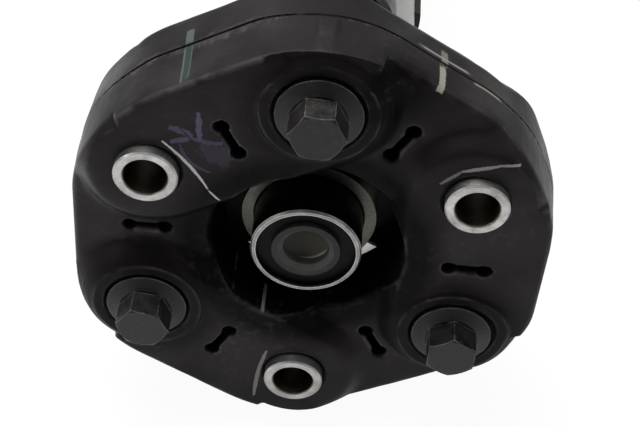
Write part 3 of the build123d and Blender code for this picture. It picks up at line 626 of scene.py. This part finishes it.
# The cap's dish has painted light: it is painted paler to the lower right, and a painted glint
# runs along its lower edge
painted_light_side, dish_middle = (0.006, 0, -0.010), (-0.001, 0.0075, 0.0015)
glint_band = (0.0081, 0.0087)
cap_plastic, shader = new_finish("cap_plastic", Roughness=0.3, Specular_IOR_Level=0.12)
where = node(cap_plastic, "TexCoord", output=3)
patch = noise(cap_plastic, where, 250, 4, 0.6)
painted_light_slope = span(cap_plastic, from_place(cap_plastic, where, painted_light_side), 0.004, 0.016)
tone = blend_colours(cap_plastic, painted_light_slope, (0.060, 0.055, 0.038, 1), (0.014, 0.014, 0.009, 1))
# Painted glint: a pale arc near the dish's lower right edge
painted_glint = span(cap_plastic, from_place(cap_plastic, where, dish_middle), *glint_band)
glint_low_side = span(cap_plastic, node(cap_plastic, "SeparateXYZ", [where], 2), -0.002, -0.004)
painted_glint = times(cap_plastic, painted_glint, glint_low_side)
tone = blend_colours(cap_plastic, painted_glint, tone, (0.30, 0.28, 0.20, 1))
link(cap_plastic, tone, shader, "Base Color")
raise_surface(cap_plastic, shader, patch, 0.0002, 0.4)
dress(cap_plastic, "centring_cap")


# Forgings: the three-arm flange, the slip sleeve and the two yokes, black from the forge
# with a thin coat of paint.

forged, shader = new_finish("forged_steel", Metallic=0.4)
where = node(forged, "TexCoord", output=3)
patch = noise(forged, where, 90, 5, 0.6)
scale = noise(forged, where, 600, 4, 0.65)
edges = worn_edges(forged, 0.0008, 0.88, 0.99)
edges = times(forged, edges, span(forged, patch, 0.4, 0.6))
tone = blend_colours(forged, patch, (0.018, 0.018, 0.019, 1), (0.04, 0.038, 0.036, 1))
tone = blend_colours(forged, times(forged, edges, 0.6), tone, (0.16, 0.15, 0.14, 1))
link(forged, tone, shader, "Base Color")
link(forged, span(forged, patch, 0.3, 0.7, 0.42, 0.58), shader, "Roughness")
raise_surface(forged, shader, scale, 0.00025, 0.5)
dress(forged, "front_flange", "slip_sleeve", "slip_yoke", "flange_yoke")


# Tube and weights: drawn steel tube under light grey paint, with dark weights welded on.

tube_paint, shader = new_finish("tube_paint", Metallic=0.3, Roughness=0.42)
where = node(tube_paint, "TexCoord", output=3)
patch = noise(tube_paint, where, 45, 5, 0.6)
grit = noise(tube_paint, where, 900, 3, 0.6)
tone = blend_colours(tube_paint, patch, (0.22, 0.215, 0.21, 1), (0.30, 0.295, 0.285, 1))
tone = blend_colours(tube_paint, span(tube_paint, grit, 0.66, 0.74), tone, (0.08, 0.07, 0.06, 1))
link(tube_paint, tone, shader, "Base Color")
raise_surface(tube_paint, shader, grit, 0.00006, 0.4)
dress(tube_paint, "shaft_tube")

weight_steel, shader = new_finish("weight_steel", Metallic=0.5, Roughness=0.5)
where = node(weight_steel, "TexCoord", output=3)
patch = noise(weight_steel, where, 200, 5, 0.6)
tone = blend_colours(weight_steel, patch, (0.012, 0.013, 0.010, 1), (0.03, 0.03, 0.024, 1))
link(weight_steel, tone, shader, "Base Color")
raise_surface(weight_steel, shader, patch, 0.0002, 0.4)
dress(weight_steel, "balance_weights")


# Cross, cups and circlips: ground and sprung steel, bare and lightly oiled.

ground, shader = new_finish("ground_steel", Metallic=1.0)
where = node(ground, "TexCoord", output=3)
patch = noise(ground, where, 180, 5, 0.6)
tone = span(ground, patch, 0.35, 0.7)
tone = blend_colours(ground, tone, (0.40, 0.39, 0.38, 1), (0.22, 0.21, 0.20, 1))
link(ground, tone, shader, "Base Color")
link(ground, span(ground, patch, 0.3, 0.7, 0.24, 0.4), shader, "Roughness")
raise_surface(ground, shader, noise(ground, where, 1500, 2, 0.6), 0.00003, 0.4)
dress(ground, "cross", "slip_yoke_cups", "flange_yoke_cups")

spring, shader = new_finish("spring_steel", Metallic=0.9, Roughness=0.35)
where = node(spring, "TexCoord", output=3)
patch = noise(spring, where, 300, 5, 0.6)
tone = blend_colours(spring, patch, (0.05, 0.045, 0.042, 1), (0.12, 0.11, 0.10, 1))
link(spring, tone, shader, "Base Color")
raise_surface(spring, shader, patch, 0.0001, 0.4)
dress(spring, "slip_yoke_circlips", "flange_yoke_circlips")

zinc, shader = new_finish("cap_steel", Metallic=0.9)
where = node(zinc, "TexCoord", output=3)
patch = noise(zinc, where, 140, 5, 0.6)
tone = blend_colours(zinc, patch, (0.26, 0.25, 0.23, 1), (0.40, 0.39, 0.36, 1))
link(zinc, tone, shader, "Base Color")
link(zinc, span(zinc, patch, 0.3, 0.7, 0.32, 0.5), shader, "Roughness")
raise_surface(zinc, shader, patch, 0.0001, 0.4)
dress(zinc, "dust_cap", "sleeve_plug", "sleeve_nipple", "cross_nipple")
